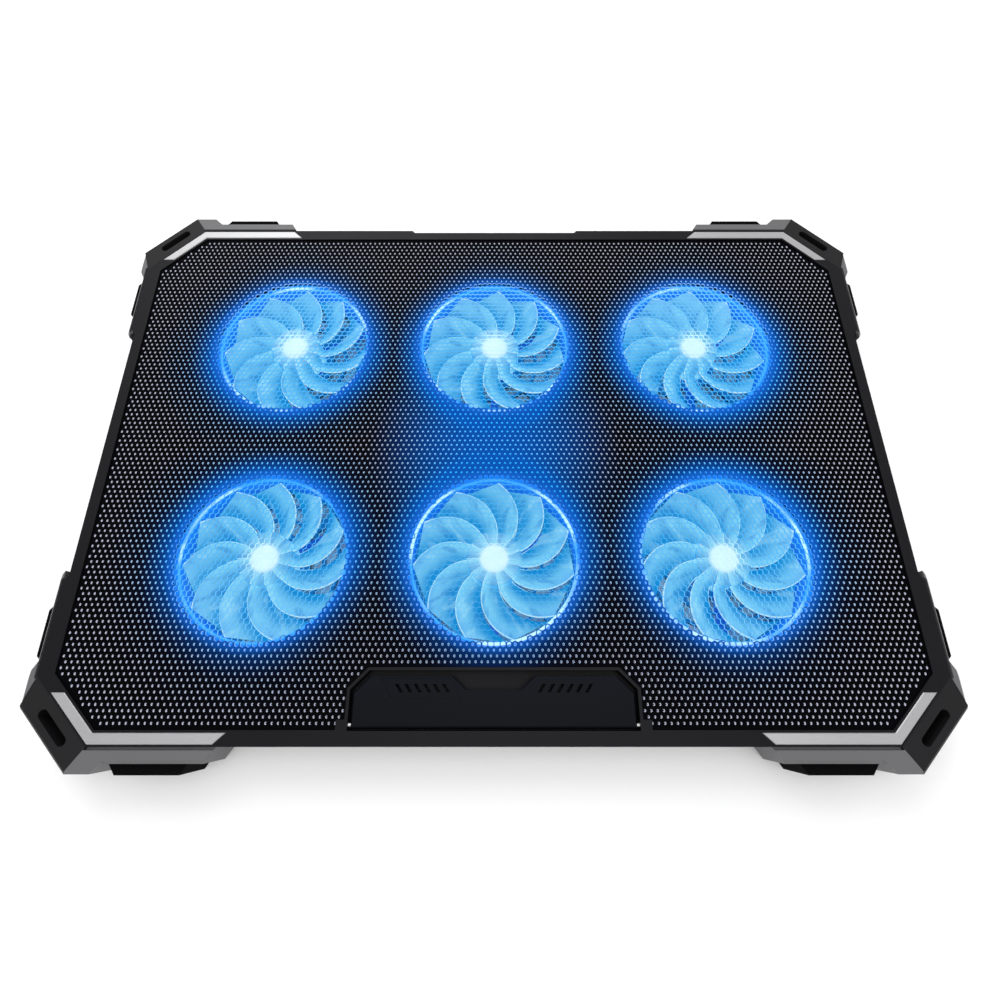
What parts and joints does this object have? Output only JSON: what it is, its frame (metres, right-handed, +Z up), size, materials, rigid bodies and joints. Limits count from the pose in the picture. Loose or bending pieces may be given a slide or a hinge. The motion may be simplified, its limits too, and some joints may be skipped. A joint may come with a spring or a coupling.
{
  "type": "laptop cooling pad",
  "caption": "Laptop cooling pad with lit fans under a perforated deck, armoured corners, a flip-up front stop and fold-out rear legs.",
  "frame": {"origin": "on the table, under the centre of the case", "axes": "+X to the user's right, +Y to the rear, +Z up"},
  "size_m": [0.405, 0.298, 0.0252],
  "materials": {
    "bezel_plastic": "satin",
    "black_block": "matte",
    "circuit_board": "satin",
    "component_black": "matte",
    "controls": "matte",
    "copper_winding": "satin",
    "fan_frame": "gloss",
    "fan_rotor": "gloss",
    "grey_armour": "satin",
    "leg_plastic": "matte",
    "light": "gloss",
    "mesh_metal": "satin",
    "pin_steel": "satin",
    "port_metal": "satin",
    "rubber": "matte",
    "screw_steel": "satin",
    "silver_trim": "brushed",
    "stop_plastic": "satin",
    "tray_plastic": "matte",
    "wire": "satin"
  },
  "bodies": {
    "case": {"bottom_cover": "tray_plastic", "case_screws": "screw_steel", "control_board": "circuit_board", "corner_armour_front_left": "grey_armour", "corner_armour_front_right": "grey_armour", "corner_armour_rear_left": "grey_armour", "corner_armour_rear_right": "grey_armour", "corner_block_front_left": "black_block", "corner_block_front_right": "black_block", "corner_block_rear_left": "black_block", "corner_block_rear_right": "black_block", "corner_foot_front_left": "rubber", "corner_foot_front_right": "rubber", "corner_foot_rear_left": "rubber", "corner_foot_rear_right": "rubber", "corner_trim_front_left": "silver_trim", "corner_trim_front_right": "silver_trim", "corner_trim_rear_left": "silver_trim", "corner_trim_rear_right": "silver_trim", "fan_1_frame": "fan_frame", "fan_1_stator": "copper_winding", "fan_2_frame": "fan_frame", "fan_2_stator": "copper_winding", "fan_3_frame": "fan_frame", "fan_3_stator": "copper_winding", "fan_4_frame": "fan_frame", "fan_4_stator": "copper_winding", "fan_5_frame": "fan_frame", "fan_5_stator": "copper_winding", "fan_6_frame": "fan_frame", "fan_6_stator": "copper_winding", "fan_light_rings": "light", "fan_screws": "screw_steel", "fan_wires": "wire", "leg_pin_left": "pin_steel", "leg_pin_right": "pin_steel", "mesh_panel": "mesh_metal", "middle_frame": "tray_plastic", "power_switch": "component_black", "speed_control": "component_black", "stop_pins": "pin_steel", "top_frame": "bezel_plastic", "usb_port_1": "port_metal", "usb_port_2": "port_metal"},
    "rotor_1": {"fan_1_rotor": "fan_rotor"},
    "rotor_2": {"fan_2_rotor": "fan_rotor"},
    "rotor_3": {"fan_3_rotor": "fan_rotor"},
    "rotor_4": {"fan_4_rotor": "fan_rotor"},
    "rotor_5": {"fan_5_rotor": "fan_rotor"},
    "rotor_6": {"fan_6_rotor": "fan_rotor"},
    "stop": {"front_stop": "stop_plastic"},
    "leg_left": {"leg_pad_left": "rubber", "rear_leg_left": "leg_plastic"},
    "leg_right": {"leg_pad_right": "rubber", "rear_leg_right": "leg_plastic"},
    "button": {"power_button": "controls"},
    "dial": {"speed_dial": "controls"}
  },
  "joints": [
    {"name": "fan_1_spin", "type": "hinge", "parent": "case", "child": "rotor_1", "pos_m": [-0.1084, 0.0601, 0.015], "axis": [0, 0, 1], "continuous": true},
    {"name": "fan_2_spin", "type": "hinge", "parent": "case", "child": "rotor_2", "pos_m": [0, 0.0601, 0.015], "axis": [0, 0, 1], "continuous": true},
    {"name": "fan_3_spin", "type": "hinge", "parent": "case", "child": "rotor_3", "pos_m": [0.1084, 0.0601, 0.015], "axis": [0, 0, 1], "continuous": true},
    {"name": "fan_4_spin", "type": "hinge", "parent": "case", "child": "rotor_4", "pos_m": [-0.1084, -0.0571, 0.015], "axis": [0, 0, 1], "continuous": true},
    {"name": "fan_5_spin", "type": "hinge", "parent": "case", "child": "rotor_5", "pos_m": [0, -0.0571, 0.015], "axis": [0, 0, 1], "continuous": true},
    {"name": "fan_6_spin", "type": "hinge", "parent": "case", "child": "rotor_6", "pos_m": [0.1084, -0.0571, 0.015], "axis": [0, 0, 1], "continuous": true},
    {"name": "stop_flip", "type": "hinge", "parent": "case", "child": "stop", "pos_m": [0, -0.1297, 0.0231], "axis": [1, 0, 0], "range_deg": [0, 95]},
    {"name": "leg_left_fold", "type": "hinge", "parent": "case", "child": "leg_left", "pos_m": [-0.1, 0.1305, 0.0072], "axis": [1, 0, 0], "range_deg": [0, 75]},
    {"name": "leg_right_fold", "type": "hinge", "parent": "case", "child": "leg_right", "pos_m": [0.1, 0.1305, 0.0072], "axis": [1, 0, 0], "range_deg": [0, 75]},
    {"name": "dial_turn", "type": "hinge", "parent": "case", "child": "dial", "pos_m": [0.012, 0.1262, 0.0132], "axis": [0, 0, 1], "range_deg": [0, 270]},
    {"name": "button_press", "type": "slide", "parent": "case", "child": "button", "axis": [0, -1, 0], "range_m": [0, 0.001], "stiffness_N_per_m": 600, "springref_m": -0.0003}
  ]
}
